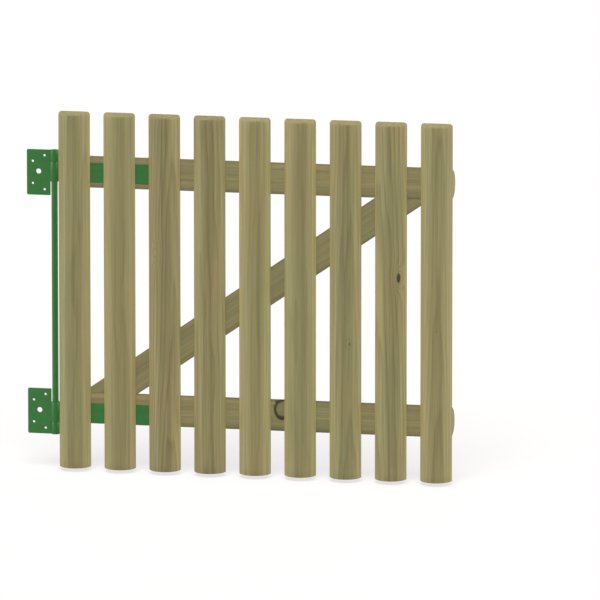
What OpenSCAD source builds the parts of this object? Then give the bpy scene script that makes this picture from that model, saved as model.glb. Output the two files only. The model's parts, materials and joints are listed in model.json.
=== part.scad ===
// Garden gate of half-round timber with a green steel strap hinge.
// The leaf hangs on one long rod that joins an upper and a lower hinge.
// Leaf coordinates: X from the hinge side to the free side, Z up, pickets in
// front of Y = 0 and rails behind it. Row coordinates start midway between the
// two large bolt holes, on the back of the post plates.

/* [Timber] */
// Diameter of the log that each half-round is sawn from
log_d = 80; // [74:1:84]
// Clear gap between two pickets
picket_gap = 35; // [31:1:40]
// Height of the pickets
picket_height = 900; // [860:1:980]
// Radius that eases the round arris of a sawn end
end_radius = 8; // [3:1:12]
// Height of the lower rail's centre above the picket feet
lower_rail_z = 149; // [145:1:152]
// Height of the upper rail's centre above the picket feet
upper_rail_z = 748; // [742:1:754]

/* [Hinge steel] */
// Diameter of the hinge rod
rod_d = 16; // [12:1:16]
// Outer diameter of the knuckle tubes
knuckle_d = 21.3; // [20:0.1:22]
// Distance from the rod's axis to the outer edge of the first picket
axis_offset = 12; // [11.5:0.5:14]
// Thickness of the post plates and the straps
bar_t = 5; // [4:0.5:6]
// Height of each strap and of its knuckle
strap_h = 50; // [44:1:52]
// Length of each strap from the rod's axis
strap_reach = 300; // [292:1:310]
// Width of each post plate
plate_w = 60; // [55:1:70]
// Height of each post plate
plate_h = 115; // [112:1:120]
// Underside of the upper post plate above the picket feet
upper_plate_z = 685; // [682:1:690]
// Underside of the lower post plate above the picket feet
lower_plate_z = 78.5; // [74.5:1:82.5]
// Underside of the upper strap above the picket feet
upper_strap_z = 720.5; // [718.5:1:722.5]
// Underside of the lower strap above the picket feet
lower_strap_z = 110.5; // [107.5:1:112.5]

/* [Fasteners] */
// Diameter of the large bolt hole in each post plate
post_bolt_d = 13; // [11:1:15]
// Diameter of the four small screw holes in each post plate
post_screw_d = 6; // [5:0.5:7]
// Diameter of the strap bolts
strap_bolt_d = 8; // [6:1:8]
// Shank diameter of the timber screws
screw_d = 6; // [5:0.5:6]
// Length of the timber screws
screw_length = 60; // [50:5:60]

/* [Hidden] */
$fn = 96;
PICKETS = 9;
log_r = log_d / 2;
pitch = log_d + picket_gap;
leaf_w = (PICKETS - 1) * pitch + log_d;
touch = 0.05;                      // play between a fastener and its hole
through = 1;                       // how far a cutting tool passes a face

// Hinge stack: knuckles share one axis, in the middle of the bar thickness
axis_x = -axis_offset;
axis_y = bar_t / 2;
knuckle_r = knuckle_d / 2;
rod_r = rod_d / 2;
running_play = 0.08;               // radial play of the strap knuckles on the rod
knuckle_gap = 0.5;                 // between a strap knuckle and a post knuckle
knuckle_chamfer = 0.6;
rod_inset = 1;                     // rod end below the knuckle's outer end
swing_clearance = 0.6;             // between a post plate and a strap knuckle
plate_right = axis_x - sqrt(knuckle_r ^ 2 - axis_y ^ 2);
plate_left = plate_right - plate_w;
plate_corner_r = 4;                // left corners of a post plate
plate_free_corner_r = 1.5;         // its corner beside the bare rod
upper_split = upper_strap_z + strap_h + knuckle_gap;
upper_end = upper_plate_z + plate_h;
lower_split = lower_strap_z - knuckle_gap;
lower_end = lower_plate_z;

// Post plate holes, from the plate's left edge and its middle height
post_bolt_x = 30;
post_bolt_rise = 2.5;
outer_screw_x = 15;
outer_screw_z = 28;
inner_screw_x = 45;
inner_screw_z = 43;

// The row's origin in leaf coordinates
upper_bolt_z = upper_plate_z + plate_h / 2 + post_bolt_rise;
lower_bolt_z = lower_plate_z + plate_h / 2 + post_bolt_rise;
ORIGIN = [plate_left + post_bolt_x, bar_t, (upper_bolt_z + lower_bolt_z) / 2];

// Brace: its lower edge meets the lower rail's top at brace_foot_x and the
// upper rail's underside at brace_head_x
brace_foot_x = 200;
brace_head_x = 943;
brace_seat = 0.1;                  // sawing gap between the brace and a rail
brace_low_z = lower_rail_z + log_r + brace_seat;
brace_high_z = upper_rail_z - log_r - brace_seat;
brace_angle = atan2(brace_high_z - brace_low_z, brace_head_x - brace_foot_x);
brace_mid_x = (brace_foot_x + brace_head_x) / 2;
brace_mid_z = (brace_low_z + brace_high_z) / 2;

// Strap bolts: countersunk head flush in the strap, nut sunk in the rail
strap_bolt_pickets = [1, 2, 3];
strap_bolt_length = 35;
strap_bolt_chamfer = 1;
strap_bolt_head_r = 7.6;
strap_bolt_sink = 0.2;
nut_seat_y = 26;
nut_pocket_r = 10;
washer_t = 1.6;
washer_play = 0.2;
washer_r = 8;
nut_t = 6.5;
nut_across_flats = 13;
socket_across_flats = 5;
socket_depth = 3;

// Timber screws: two at each picket and rail, one at each picket and brace
rail_screw_dx = 18;
rail_screw_dz = 16;
rail_screw_head_y = 33;
brace_screw_head_y = 38;
brace_screw_pickets = [2:8];
screw_head_r = screw_d;
screw_head_h = 3.4;
screw_tip_h = 6;
screw_drive_depth = 2.4;
screw_drive_across = 4;
strap_screw_play = 0.4;
strap_screw_hole_r = screw_d / 2 + strap_screw_play;

TIMBER = [0.56, 0.52, 0.37];
TIMBER_BACK = [0.50, 0.47, 0.33];
GREEN = [0.20, 0.42, 0.22];
ZINC = [0.72, 0.73, 0.75];

function picket_x(i) = log_r + (i - 1) * pitch;
function brace_z(x) = brace_mid_z
    + (x - brace_mid_x) * tan(brace_angle) + log_r / cos(brace_angle);

// Shifts leaf coordinates to row coordinates
module in_row() {
    translate(-ORIGIN) children();
}

// Turns a shape made along +Z so that it points along +Y
module along_y() {
    rotate([-90, 0, 0]) children();
}

// Half-round along +Z, flat at Y = 0 and round towards +Y, with the round
// arris of its low and its high end eased to the radii given
module half_round(length, low_r, high_r) {
    rotate_extrude(angle = 180) {
        translate([0, low_r]) square([log_r, length - low_r - high_r]);
        square([log_r - low_r, length / 2]);
        translate([0, length / 2]) square([log_r - high_r, length / 2]);
        if (low_r > 0) translate([log_r - low_r, low_r]) circle(low_r);
        if (high_r > 0) translate([log_r - high_r, length - high_r]) circle(high_r);
    }
}

// Profile of a timber screw, head at Z = 0 and point towards +Z
module screw_profile(play) {
    shank = screw_d / 2 + play;
    head = screw_head_r + play;
    polygon([
        [0, 0],
        [head, 0],
        [shank, screw_head_h + play],
        [shank, screw_length - screw_tip_h],
        [0, screw_length + play],
    ]);
}

// Centres of the two picket screws of one crossing: [x, z]
function crossing_screws(i, rail_z) = [
    [picket_x(i) - rail_screw_dx, rail_z + rail_screw_dz],
    [picket_x(i) + rail_screw_dx, rail_z - rail_screw_dz],
];

function rail_screw_spots(rail_z) = [
    for (i = [1:PICKETS]) for (spot = crossing_screws(i, rail_z)) spot
];
function all_rail_screws() = concat(
    rail_screw_spots(upper_rail_z), rail_screw_spots(lower_rail_z));
function brace_screw_spots() = [
    for (i = brace_screw_pickets) [picket_x(i), brace_z(picket_x(i))]
];
function screws_in_picket(i) = concat(
    crossing_screws(i, upper_rail_z),
    crossing_screws(i, lower_rail_z),
    [for (spot = brace_screw_spots()) if (spot[0] == picket_x(i)) spot]);

// Screw bodies, or the holes that they fill, driven from the back
module screw_at(spot, head_y, play = 0) {
    translate([spot[0], head_y, spot[1]])
        rotate([90, 0, 0])
            rotate_extrude() screw_profile(play);
}

module screw_pocket(spot, head_y) {
    screw_at(spot, head_y, touch);
    translate([spot[0], head_y - touch, spot[1]])
        along_y() cylinder(r = screw_head_r + touch, h = log_r);
}

module timber_screw(spot, head_y) {
    difference() {
        screw_at(spot, head_y);
        translate([spot[0], head_y - screw_drive_depth, spot[1]])
            along_y() cylinder(d = screw_drive_across, h = screw_drive_depth + through, $fn = 6);
    }
}

// Timber ---------------------------------------------------------------

module picket(i) {
    color(TIMBER)
        in_row()
            difference() {
                translate([picket_x(i), 0, 0])
                    rotate([0, 0, 180])
                        half_round(picket_height, 0, end_radius);
                for (spot = screws_in_picket(i)) {
                    is_brace = abs(spot[1] - upper_rail_z) > log_r
                        && abs(spot[1] - lower_rail_z) > log_r;
                    screw_at(spot, is_brace ? brace_screw_head_y : rail_screw_head_y, touch);
                }
            }
}

module rail(rail_z, strap_z) {
    difference() {
        translate([0, 0, rail_z])
            rotate([0, 90, 0])
                half_round(leaf_w, end_radius, end_radius);
        translate([-through, -through, strap_z])
            cube([axis_x + strap_reach + through, bar_t + through, strap_h]);
        for (i = strap_bolt_pickets) strap_bolt_pocket(picket_x(i), strap_z + strap_h / 2);
        for (spot = rail_screw_spots(rail_z)) screw_pocket(spot, rail_screw_head_y);
    }
}

// Clearance hole and nut pocket of a strap bolt
module strap_bolt_pocket(x, z) {
    translate([x, 0, z]) along_y() cylinder(d = strap_bolt_d + 2 * touch, h = log_r);
    translate([x, nut_seat_y, z]) along_y() cylinder(r = nut_pocket_r, h = log_r);
}

module upper_rail() {
    color(TIMBER_BACK) in_row() rail(upper_rail_z, upper_strap_z);
}

module lower_rail() {
    color(TIMBER_BACK) in_row() rail(lower_rail_z, lower_strap_z);
}

module diagonal_brace() {
    length = 2 * leaf_w;
    color(TIMBER_BACK)
        in_row()
            difference() {
                intersection() {
                    translate([brace_mid_x, 0, brace_mid_z])
                        rotate([0, 90 - brace_angle, 0])
                            translate([-log_r, 0, -length / 2])
                                half_round(length, 0, 0);
                    translate([0, 0, brace_low_z])
                        cube([leaf_w, log_d, brace_high_z - brace_low_z]);
                }
                for (spot = brace_screw_spots()) screw_pocket(spot, brace_screw_head_y);
            }
}

// Hinge steel ----------------------------------------------------------

module knuckle(z, height, bore_r) {
    translate([axis_x, axis_y, z])
        rotate_extrude()
            polygon([
                [bore_r, 0],
                [knuckle_r - knuckle_chamfer, 0],
                [knuckle_r, knuckle_chamfer],
                [knuckle_r, height - knuckle_chamfer],
                [knuckle_r - knuckle_chamfer, height],
                [bore_r, height],
            ]);
}

module strap(strap_z, rail_z) {
    difference() {
        translate([axis_x, 0, strap_z])
            cube([strap_reach, bar_t, strap_h]);
        translate([axis_x, axis_y, strap_z - through])
            cylinder(r = knuckle_r, h = strap_h + 2 * through);
        for (i = strap_bolt_pickets)
            translate([picket_x(i), 0, strap_z + strap_h / 2])
                strap_bolt_hole();
        for (i = strap_bolt_pickets, spot = crossing_screws(i, rail_z))
            translate([spot[0], -through, spot[1]])
                along_y() cylinder(r = strap_screw_hole_r, h = bar_t + 2 * through);
    }
}

module strap_bolt_hole() {
    along_y() {
        translate([0, 0, -through]) cylinder(d = strap_bolt_d + 2 * touch, h = bar_t + 2 * through);
        translate([0, 0, -through])
            cylinder(r = strap_bolt_head_r + touch, h = through + strap_bolt_sink);
        translate([0, 0, strap_bolt_sink])
            cylinder(
                r1 = strap_bolt_head_r + touch,
                r2 = strap_bolt_d / 2 + touch,
                h = strap_bolt_head_r - strap_bolt_d / 2);
    }
}

module upper_strap() {
    color(GREEN) in_row() strap(upper_strap_z, upper_rail_z);
}

module lower_strap() {
    color(GREEN) in_row() strap(lower_strap_z, lower_rail_z);
}

module upper_strap_knuckle() {
    color(GREEN) in_row() knuckle(upper_strap_z, strap_h, rod_r + running_play);
}

module lower_strap_knuckle() {
    color(GREEN) in_row() knuckle(lower_strap_z, strap_h, rod_r + running_play);
}

// Plate outline in X and Z with its left corners rounded, and its free right one
module plate_outline(free_low) {
    r = plate_corner_r;
    free_r = plate_free_corner_r;
    free_z = free_low ? free_r : plate_h - free_r;
    translate([r, 0]) square([plate_w - r - free_r, plate_h]);
    translate([0, r]) square([plate_w - r, plate_h - 2 * r]);
    translate([plate_w / 2, free_low ? free_r : 0])
        square([plate_w / 2, plate_h - free_r]);
    translate([r, r]) circle(r);
    translate([r, plate_h - r]) circle(r);
    translate([plate_w - free_r, free_z]) circle(free_r);
}

// A tongue on the plate is welded to the post knuckle that spans low_z to
// high_z, and a scallop clears the strap knuckle that turns beside the plate
module post_plate(plate_z, strap_z, low_z, high_z, free_low) {
    mid_z = plate_z + plate_h / 2;
    tongue_x = plate_right - plate_corner_r;
    difference() {
        union() {
            translate([plate_left, bar_t, plate_z])
                rotate([90, 0, 0])
                    linear_extrude(bar_t) plate_outline(free_low);
            translate([tongue_x, 0, low_z])
                cube([axis_x - tongue_x, bar_t, high_z - low_z]);
        }
        translate([axis_x, axis_y, low_z - through])
            cylinder(r = knuckle_r, h = high_z - low_z + 2 * through);
        translate([axis_x, axis_y, strap_z - swing_clearance])
            cylinder(r = knuckle_r + swing_clearance, h = strap_h + 2 * swing_clearance);
        plate_hole(post_bolt_x, mid_z + post_bolt_rise, post_bolt_d);
        for (side = [-1, 1]) {
            plate_hole(outer_screw_x, mid_z + side * outer_screw_z, post_screw_d);
            plate_hole(inner_screw_x, mid_z + side * inner_screw_z, post_screw_d);
        }
    }
}

module plate_hole(from_left, z, d) {
    translate([plate_left + from_left, -through, z])
        along_y() cylinder(d = d, h = bar_t + 2 * through);
}

module upper_post_plate() {
    color(GREEN)
        in_row() post_plate(upper_plate_z, upper_strap_z, upper_split, upper_end, true);
}

module lower_post_plate() {
    color(GREEN)
        in_row() post_plate(lower_plate_z, lower_strap_z, lower_end, lower_split, false);
}

module upper_post_knuckle() {
    color(GREEN) in_row() knuckle(upper_split, upper_end - upper_split, rod_r);
}

module lower_post_knuckle() {
    color(GREEN) in_row() knuckle(lower_end, lower_split - lower_end, rod_r);
}

module hinge_rod() {
    low = lower_end + rod_inset;
    color(GREEN)
        in_row()
            translate([axis_x, axis_y, low])
                cylinder(r = rod_r, h = upper_end - rod_inset - low);
}

// Fasteners ------------------------------------------------------------

// Draws its children at each strap bolt, with +Z along the bolt
module at_strap_bolts(y) {
    in_row()
        for (strap_z = [upper_strap_z, lower_strap_z], i = strap_bolt_pickets)
            translate([picket_x(i), y, strap_z + strap_h / 2])
                along_y() children();
}

module strap_bolts() {
    r = strap_bolt_d / 2;
    color(ZINC)
        at_strap_bolts(strap_bolt_sink)
            difference() {
                rotate_extrude()
                    polygon([
                        [0, 0],
                        [strap_bolt_head_r, 0],
                        [r, strap_bolt_head_r - r],
                        [r, strap_bolt_length - strap_bolt_chamfer],
                        [r - strap_bolt_chamfer, strap_bolt_length],
                        [0, strap_bolt_length],
                    ]);
                translate([0, 0, -through])
                    cylinder(
                        d = socket_across_flats / cos(30),
                        h = socket_depth + through,
                        $fn = 6);
            }
}

module strap_washers() {
    color(ZINC)
        at_strap_bolts(nut_seat_y)
            difference() {
                cylinder(r = washer_r, h = washer_t);
                translate([0, 0, -through])
                    cylinder(r = strap_bolt_d / 2 + washer_play, h = washer_t + 2 * through);
            }
}

module strap_nuts() {
    color(ZINC)
        at_strap_bolts(nut_seat_y + washer_t)
            difference() {
                cylinder(d = nut_across_flats / cos(30), h = nut_t, $fn = 6);
                translate([0, 0, -through])
                    cylinder(r = strap_bolt_d / 2 + touch, h = nut_t + 2 * through);
            }
}

module picket_screws() {
    color(ZINC)
        in_row()
            for (spot = all_rail_screws()) timber_screw(spot, rail_screw_head_y);
}

module brace_screws() {
    color(ZINC)
        in_row()
            for (spot = brace_screw_spots()) timber_screw(spot, brace_screw_head_y);
}

for (i = [1:PICKETS])
    picket(i);
upper_rail();
lower_rail();
diagonal_brace();
upper_strap();
lower_strap();
upper_strap_knuckle();
lower_strap_knuckle();
upper_post_plate();
lower_post_plate();
upper_post_knuckle();
lower_post_knuckle();
hinge_rod();
strap_bolts();
strap_washers();
strap_nuts();
picket_screws();
brace_screws();
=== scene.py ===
# %% [markdown]
# # A garden gate in half-round timber and green steel
# The gate's frame comes ready made: every picket, rail, strap and screw already has its place and
# size. This lesson gives it the looks. We load the frame first and measure it, because each piece
# that we make has to stand exactly where the frame's own piece stands.

# %% Load the frame and measure it
import json
import math
from math import cos, pi, radians, sin

import bmesh
import bpy
from mathutils import Matrix, Vector

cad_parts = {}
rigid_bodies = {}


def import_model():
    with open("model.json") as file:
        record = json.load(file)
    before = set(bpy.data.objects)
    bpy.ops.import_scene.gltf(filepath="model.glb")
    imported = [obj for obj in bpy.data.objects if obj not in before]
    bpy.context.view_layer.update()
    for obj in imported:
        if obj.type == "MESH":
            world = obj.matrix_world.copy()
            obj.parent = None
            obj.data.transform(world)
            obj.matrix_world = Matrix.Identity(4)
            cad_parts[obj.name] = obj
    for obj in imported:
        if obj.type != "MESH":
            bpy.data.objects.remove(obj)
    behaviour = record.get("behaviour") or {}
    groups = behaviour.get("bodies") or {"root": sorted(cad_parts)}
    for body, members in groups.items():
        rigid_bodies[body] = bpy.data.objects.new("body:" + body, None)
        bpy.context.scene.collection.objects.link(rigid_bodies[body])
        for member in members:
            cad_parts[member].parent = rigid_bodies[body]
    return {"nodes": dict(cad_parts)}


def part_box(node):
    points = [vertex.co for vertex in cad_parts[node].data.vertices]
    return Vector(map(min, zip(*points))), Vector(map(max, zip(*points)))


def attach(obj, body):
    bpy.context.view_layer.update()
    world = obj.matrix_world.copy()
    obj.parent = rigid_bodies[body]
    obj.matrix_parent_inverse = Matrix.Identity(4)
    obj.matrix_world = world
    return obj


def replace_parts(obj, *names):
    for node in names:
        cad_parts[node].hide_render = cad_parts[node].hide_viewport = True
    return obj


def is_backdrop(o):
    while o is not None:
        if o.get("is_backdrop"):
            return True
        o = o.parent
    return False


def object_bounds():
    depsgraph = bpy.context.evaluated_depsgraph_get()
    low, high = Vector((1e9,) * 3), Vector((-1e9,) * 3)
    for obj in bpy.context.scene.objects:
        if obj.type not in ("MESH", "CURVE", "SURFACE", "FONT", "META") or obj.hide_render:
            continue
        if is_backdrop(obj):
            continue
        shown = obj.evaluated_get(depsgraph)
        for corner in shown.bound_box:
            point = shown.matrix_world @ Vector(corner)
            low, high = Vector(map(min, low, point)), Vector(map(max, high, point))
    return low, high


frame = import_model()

cad_low, cad_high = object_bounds()
MM = 0.001
picket_names = [f"picket_{i}" for i in range(1, 10)]
first_low, first_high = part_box(picket_names[0])
last_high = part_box(picket_names[-1])[1]
log_radius = (first_high.x - first_low.x) / 2
back_plane = first_high.y
leaf_middle = Vector(((first_low.x + last_high.x) / 2, back_plane, (first_low.z + first_high.z) / 2))
print("leaf", round(last_high.x - first_low.x, 3), "m wide, log radius", round(log_radius, 4))

# %% [markdown]
# ## Camera
# A long lens far away keeps the pickets almost parallel, as in a catalogue picture. The camera stands
# a little to the right of the gate and a little above it. It could be placed by hand, but an azimuth,
# an elevation and a distance say the same thing in three numbers that are easy to change.

# %% Camera
camera_azimuth = radians(11.76)
camera_elevation = radians(10.51)
camera_distance = 24.79
lens_mm = 598.2
aim_offset = Vector((0.1139, 0.0, -0.0067))


def add_to_scene(made):
    bpy.context.scene.collection.objects.link(made)
    return made


def direction(azimuth, rise):
    """Towards a far point, by its angle to the right of the front and its angle up."""
    return Vector((sin(azimuth) * cos(rise), -cos(azimuth) * cos(rise), sin(rise)))


def look_from(holder, towards):
    holder.rotation_mode = "QUATERNION"
    holder.rotation_quaternion = (-towards).to_track_quat("-Z", "Y")
    return add_to_scene(holder)


towards_camera = direction(camera_azimuth, camera_elevation)
camera = bpy.data.objects.new("camera", bpy.data.cameras.new("camera"))
camera.data.lens = lens_mm
camera.data.sensor_width = 36
camera.data.clip_end = 200
camera.location = leaf_middle + aim_offset + towards_camera * camera_distance
look_from(camera, towards_camera)
bpy.context.scene.camera = camera
print("camera at", [round(v, 2) for v in camera.location])

# %% [markdown]
# ## Node helpers
# Every finish below is a small network of shader nodes. Wiring them one by one takes many lines, so
# these helpers make a node, connect whatever is a socket and write down whatever is a number. A reader
# can still open the material in the shader editor and see the same plain nodes.

# %% Node helpers
def connect(tree, value, socket):
    if isinstance(value, bpy.types.NodeSocket):
        tree.links.new(value, socket)
    elif value is not None:
        socket.default_value = value


def math_node(tree, operation, a, b=None, c=None, clamp=False):
    made = tree.nodes.new("ShaderNodeMath")
    made.operation = operation
    made.use_clamp = clamp
    for value, socket in zip((a, b, c), made.inputs):
        connect(tree, value, socket)
    return made.outputs[0]


def vector_node(tree, operation, a, b=None):
    made = tree.nodes.new("ShaderNodeVectorMath")
    made.operation = operation
    for value, socket in zip((a, b), made.inputs):
        connect(tree, value, socket)
    return made.outputs["Value" if operation in ("LENGTH", "DOT_PRODUCT") else "Vector"]


def split_vector(tree, vector):
    made = tree.nodes.new("ShaderNodeSeparateXYZ")
    connect(tree, vector, made.inputs[0])
    return made.outputs


def noise_node(tree, vector, scale, detail=2.0, roughness=0.5):
    made = tree.nodes.new("ShaderNodeTexNoise")
    connect(tree, vector, made.inputs["Vector"])
    made.inputs["Scale"].default_value = scale
    made.inputs["Detail"].default_value = detail
    made.inputs["Roughness"].default_value = roughness
    return made


def map_range(tree, value, low, high, new_low=0.0, new_high=1.0, kind="LINEAR"):
    made = tree.nodes.new("ShaderNodeMapRange")
    made.interpolation_type = kind
    for given, socket in zip((value, low, high, new_low, new_high), made.inputs):
        connect(tree, given, socket)
    return made.outputs[0]

# %% [markdown]
# ## Colour helpers
# Colours need a few helpers more: a mix of two, a ramp through several, and a bump that turns a
# pattern into relief. Each finish starts from the same plain material with its own coordinates.

# %% Colour helpers
def mix_colour(tree, factor, a, b, blend="MIX"):
    made = tree.nodes.new("ShaderNodeMix")
    made.data_type = "RGBA"
    made.blend_type = blend
    connect(tree, factor, made.inputs[0])
    connect(tree, a, made.inputs[6])
    connect(tree, b, made.inputs[7])
    return made.outputs[2]


def multiplied(tree, colour, by):
    return mix_colour(tree, 1.0, colour, by, "MULTIPLY")


def ramp_node(tree, factor, stops):
    made = tree.nodes.new("ShaderNodeValToRGB")
    connect(tree, factor, made.inputs[0])
    band = made.color_ramp
    while len(band.elements) < len(stops):
        band.elements.new(0.5)
    for element, (position, colour) in zip(band.elements, stops):
        element.position = position
        element.color = colour
    return made.outputs[0]


def grey(value):
    return (value, value, value, 1)


def new_material(name):
    material = bpy.data.materials.new(name)
    material.use_nodes = True
    tree = material.node_tree
    shader = tree.nodes["Principled BSDF"]
    coordinates = tree.nodes.new("ShaderNodeTexCoord")
    return material, tree, shader, coordinates


def bump_node(tree, height, strength, distance, shader):
    made = tree.nodes.new("ShaderNodeBump")
    made.inputs["Strength"].default_value = strength
    made.inputs["Distance"].default_value = distance
    connect(tree, height, made.inputs["Height"])
    tree.links.new(made.outputs[0], shader.inputs["Normal"])

# %% [markdown]
# ## Floor
# The gate hangs a finger's width above a plain pale floor. A white floor that only reflects burns out
# under strong lamps and loses its shadows. This one is dark and glows instead: it looks white, its
# shadows stay faint, and diffuse light from it is kept off the gate.

# %% Floor
floor_drop = 0.010
floor_half = 60.0
floor_tone = 0.080
floor_glow = 0.691

floor_z = first_low.z - floor_drop
floor_mesh = bpy.data.meshes.new("floor")
corners = [(x * floor_half, y * floor_half, floor_z) for x, y in ((-1, -1), (1, -1), (1, 1), (-1, 1))]
floor_mesh.from_pydata(corners, [], [(0, 1, 2, 3)])
floor = add_to_scene(bpy.data.objects.new("floor", floor_mesh))
floor.visible_diffuse = False
floor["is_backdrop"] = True

floor_material, tree, shader, coordinates = new_material("pale_floor")
speckle = noise_node(tree, coordinates.outputs["Object"], 3.0, 3.0)
tone = ramp_node(tree, speckle.outputs["Fac"], [(0.3, grey(floor_tone * 0.98)), (0.7, grey(floor_tone))])
connect(tree, tone, shader.inputs["Base Color"])
shader.inputs["Roughness"].default_value = 0.95
shader.inputs["Specular IOR Level"].default_value = 0.1
shader.inputs["Emission Color"].default_value = (1.0, 0.975, 1.0, 1)
shader.inputs["Emission Strength"].default_value = floor_glow
floor_mesh.materials.append(floor_material)
print("floor at", round(floor_z, 4))

# %% [markdown]
# ## Lamps and sky
# Round timber reads best when its flanks are lighter than its middle, so wide lamps stand far out to
# the left and the right, and one with shadows hangs overhead. The side lamps are fill lights: they cast
# no shadows, or each pole would darken the next one. A fill from the rear has no gloss, so that the
# picket tops don't glare, and one last lamp is meant for the floor alone, where it draws the gate's
# faint shadow. A dim even sky fills in the rest and gives the soft darkening where pieces meet.

# %% Lamps and sky
sky_strength = 0.42
side_turn = 75
side_height = 14
lamp_colour = (1.0, 0.985, 0.90)


def sun_lamp(name, turn, height, strength, softness=20, shadows=False):
    """A far lamp; turn is degrees to the right of the camera, height is degrees up."""
    lamp = bpy.data.lights.new(name, "SUN")
    lamp.energy = strength * pi
    lamp.color = lamp_colour
    lamp.angle = radians(softness)
    lamp.use_shadow = shadows
    holder = bpy.data.objects.new(name, lamp)
    return look_from(holder, direction(camera_azimuth + radians(turn), radians(height)))


sun_lamp("left_fill", -side_turn, side_height, strength=0.60)
sun_lamp("right_fill", side_turn, side_height, strength=0.52)
boosts = [sun_lamp("left_boost", -side_turn, side_height, strength=0.24),
          sun_lamp("right_boost", side_turn, side_height, strength=0.29)]
sun_lamp("overhead", turn=0, height=88, strength=0.55, softness=24, shadows=True)
rear_fill = sun_lamp("rear_fill", turn=180, height=15, strength=0.60)
rear_fill.visible_glossy = False
floor_lamp = sun_lamp("floor_lamp", turn=-6, height=55, strength=3.1, softness=40, shadows=True)

world = bpy.data.worlds.new("studio")
bpy.context.scene.world = world
world.use_nodes = True
sky = world.node_tree
seen = sky.nodes.new("ShaderNodeLightPath").outputs["Is Camera Ray"]
sky_level = map_range(sky, seen, 0.0, 1.0, sky_strength, 1.0)
connect(sky, sky_level, sky.nodes["Background"].inputs["Strength"])
sky.nodes["Background"].inputs["Color"].default_value = (1, 1, 1, 1)
bpy.context.scene.view_settings.view_transform = "Standard"
print("sky", sky_strength, "side lamps at", side_turn, "degrees")

# %% [markdown]
# ## Rings and skins
# Nearly everything on this gate is a section swept along a line: a half-round, a tube, a rod, a screw.
# So one helper joins a row of rings into a skin, and another spins a profile into rings. Blender's
# own curve and screw tools could do it too, but rings written as formulas can also carry small
# irregularities, such as the slight waviness of a turned log.

# %% Rings and skins
def loft(rings, closed=False):
    """Vertices and faces of a skin over rings. A ring of one point is a tip."""
    vertices, faces, starts = [], [], []
    for ring in rings:
        starts.append(len(vertices))
        vertices.extend(ring)
    pairs = list(zip(range(len(rings) - 1), range(1, len(rings))))
    if closed:
        pairs.append((len(rings) - 1, 0))
    for i, j in pairs:
        a, b, count = starts[i], starts[j], max(len(rings[i]), len(rings[j]))
        for k in range(count):
            n = (k + 1) % count
            if len(rings[i]) == 1:
                faces.append((a, b + n, b + k))
            elif len(rings[j]) == 1:
                faces.append((a + k, a + n, b))
            else:
                faces.append((a + k, a + n, b + n, b + k))
    if not closed:
        if len(rings[0]) > 1:
            faces.append(tuple(reversed(range(len(rings[0])))))
        if len(rings[-1]) > 1:
            faces.append(tuple(starts[-1] + k for k in range(len(rings[-1]))))
    return vertices, faces


def circle(radius, height, count):
    if radius < 1e-6:
        return [(0.0, 0.0, height)]
    turn = 2 * pi / count
    return [(radius * cos(k * turn), radius * sin(k * turn), height) for k in range(count)]


def lathe(profile, count=48, closed=False):
    return loft([circle(radius, height, count) for radius, height in profile], closed)


def combine(parts):
    """One list of vertices and faces from several (vertices, faces, place) parts."""
    vertices, faces = [], []
    for part_vertices, part_faces, place in parts:
        start = len(vertices)
        vertices.extend(tuple(place @ Vector(v)) for v in part_vertices)
        faces.extend(tuple(start + k for k in face) for face in part_faces)
    return vertices, faces

# %% [markdown]
# ## From a skin to a piece
# A skin is only lists of points and faces. These helpers turn it into a mesh whose faces all look outwards,
# smooth it except where it turns sharply, and give it its body and its material. Another helper reads where
# the separate screws or bolts of one frame node stand, so no place is typed in twice.

# %% From a skin to a piece
def mesh_of(name, skin):
    vertices, faces = skin
    mesh = bpy.data.meshes.new(name)
    mesh.from_pydata(vertices, [], faces)
    editing = bmesh.new()
    editing.from_mesh(mesh)
    bmesh.ops.recalc_face_normals(editing, faces=editing.faces)
    editing.to_mesh(mesh)
    editing.free()
    return mesh


def skin_of(editing):
    """The skin of an open edit, which is then closed."""
    editing.verts.index_update()
    skin = ([tuple(v.co) for v in editing.verts],
            [tuple(v.index for v in face.verts) for face in editing.faces])
    editing.free()
    return skin


def finished_mesh(drawn):
    """A new mesh of an object as it shows, with its modifiers or its curve's fill worked out."""
    bpy.context.view_layer.update()
    applied = drawn.evaluated_get(bpy.context.evaluated_depsgraph_get())
    return bpy.data.meshes.new_from_object(applied)


def smooth(mesh, sharp_angle=38):
    mesh.shade_smooth()
    mesh.set_sharp_from_angle(angle=radians(sharp_angle))


def make_piece(name, skin, body, material, place=None, sharp_angle=38):
    mesh = mesh_of(name, skin)
    smooth(mesh, sharp_angle)
    mesh.materials.append(material)
    piece = add_to_scene(bpy.data.objects.new(name, mesh))
    if place is not None:
        piece.matrix_world = place
    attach(piece, body)
    return piece


def solid_boxes(node):
    """The low and high corner of each separate solid in a frame node."""
    editing = bmesh.new()
    editing.from_mesh(frame["nodes"][node].data)
    bmesh.ops.remove_doubles(editing, verts=editing.verts, dist=1e-6)
    found, seen = [], set()
    for start in editing.verts:
        if start in seen:
            continue
        group, queue = [], [start]
        seen.add(start)
        while queue:
            vertex = queue.pop()
            group.append(vertex.co.copy())
            for edge in vertex.link_edges:
                other = edge.other_vert(vertex)
                if other not in seen:
                    seen.add(other)
                    queue.append(other)
        low = Vector([min(p[axis] for p in group) for axis in range(3)])
        high = Vector([max(p[axis] for p in group) for axis in range(3)])
        found.append((low, high))
    editing.free()
    return found


def middle_xz(low, high):
    return (low.x + high.x) / 2, (low.z + high.z) / 2


def along_y(x, y, z):
    """A place whose local Z points along +Y, for bolts and screws that run through the gate."""
    return Matrix.Translation((x, y, z)) @ Matrix.Rotation(-pi / 2, 4, "X")

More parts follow.
